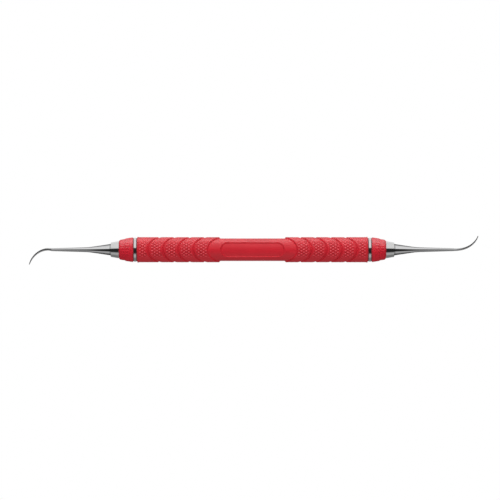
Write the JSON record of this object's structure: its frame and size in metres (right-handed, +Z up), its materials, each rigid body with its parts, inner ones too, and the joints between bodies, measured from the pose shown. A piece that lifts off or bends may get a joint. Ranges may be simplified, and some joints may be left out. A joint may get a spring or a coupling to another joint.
{
  "type": "dental explorer",
  "caption": "Double-ended dental explorer: red resin grip with scalloped chequered pads, ribbed noses, steel collars and fine hooked steel tips pointing to opposite sides.",
  "frame": {"origin": "on the handle's axis at mid-length, the centre of the object's box", "axes": "+X along the handle towards the end whose hook points to +Y, +Y across the handle, +Z up off the surface it lies on and out of the label recess"},
  "size_m": [0.1695, 0.0108, 0.0096],
  "materials": {
    "working_end": "hardened stainless steel, fine satin polish",
    "ferrule": "turned stainless steel, polished",
    "nose": "moulded red resin, semi-matt",
    "band": "stainless steel ring, polished",
    "grip": "moulded red resin, semi-matt, chequered pads",
    "core_tube": "drawn stainless tube, hidden"
  },
  "bodies": {
    "root": {"working_end_left": "working_end", "working_end_right": "working_end", "ferrule_left": "ferrule", "ferrule_right": "ferrule", "nose_left": "nose", "nose_right": "nose", "band_left": "band", "band_right": "band", "grip": "grip", "core_tube": "core_tube"}
  },
  "joints": []
}
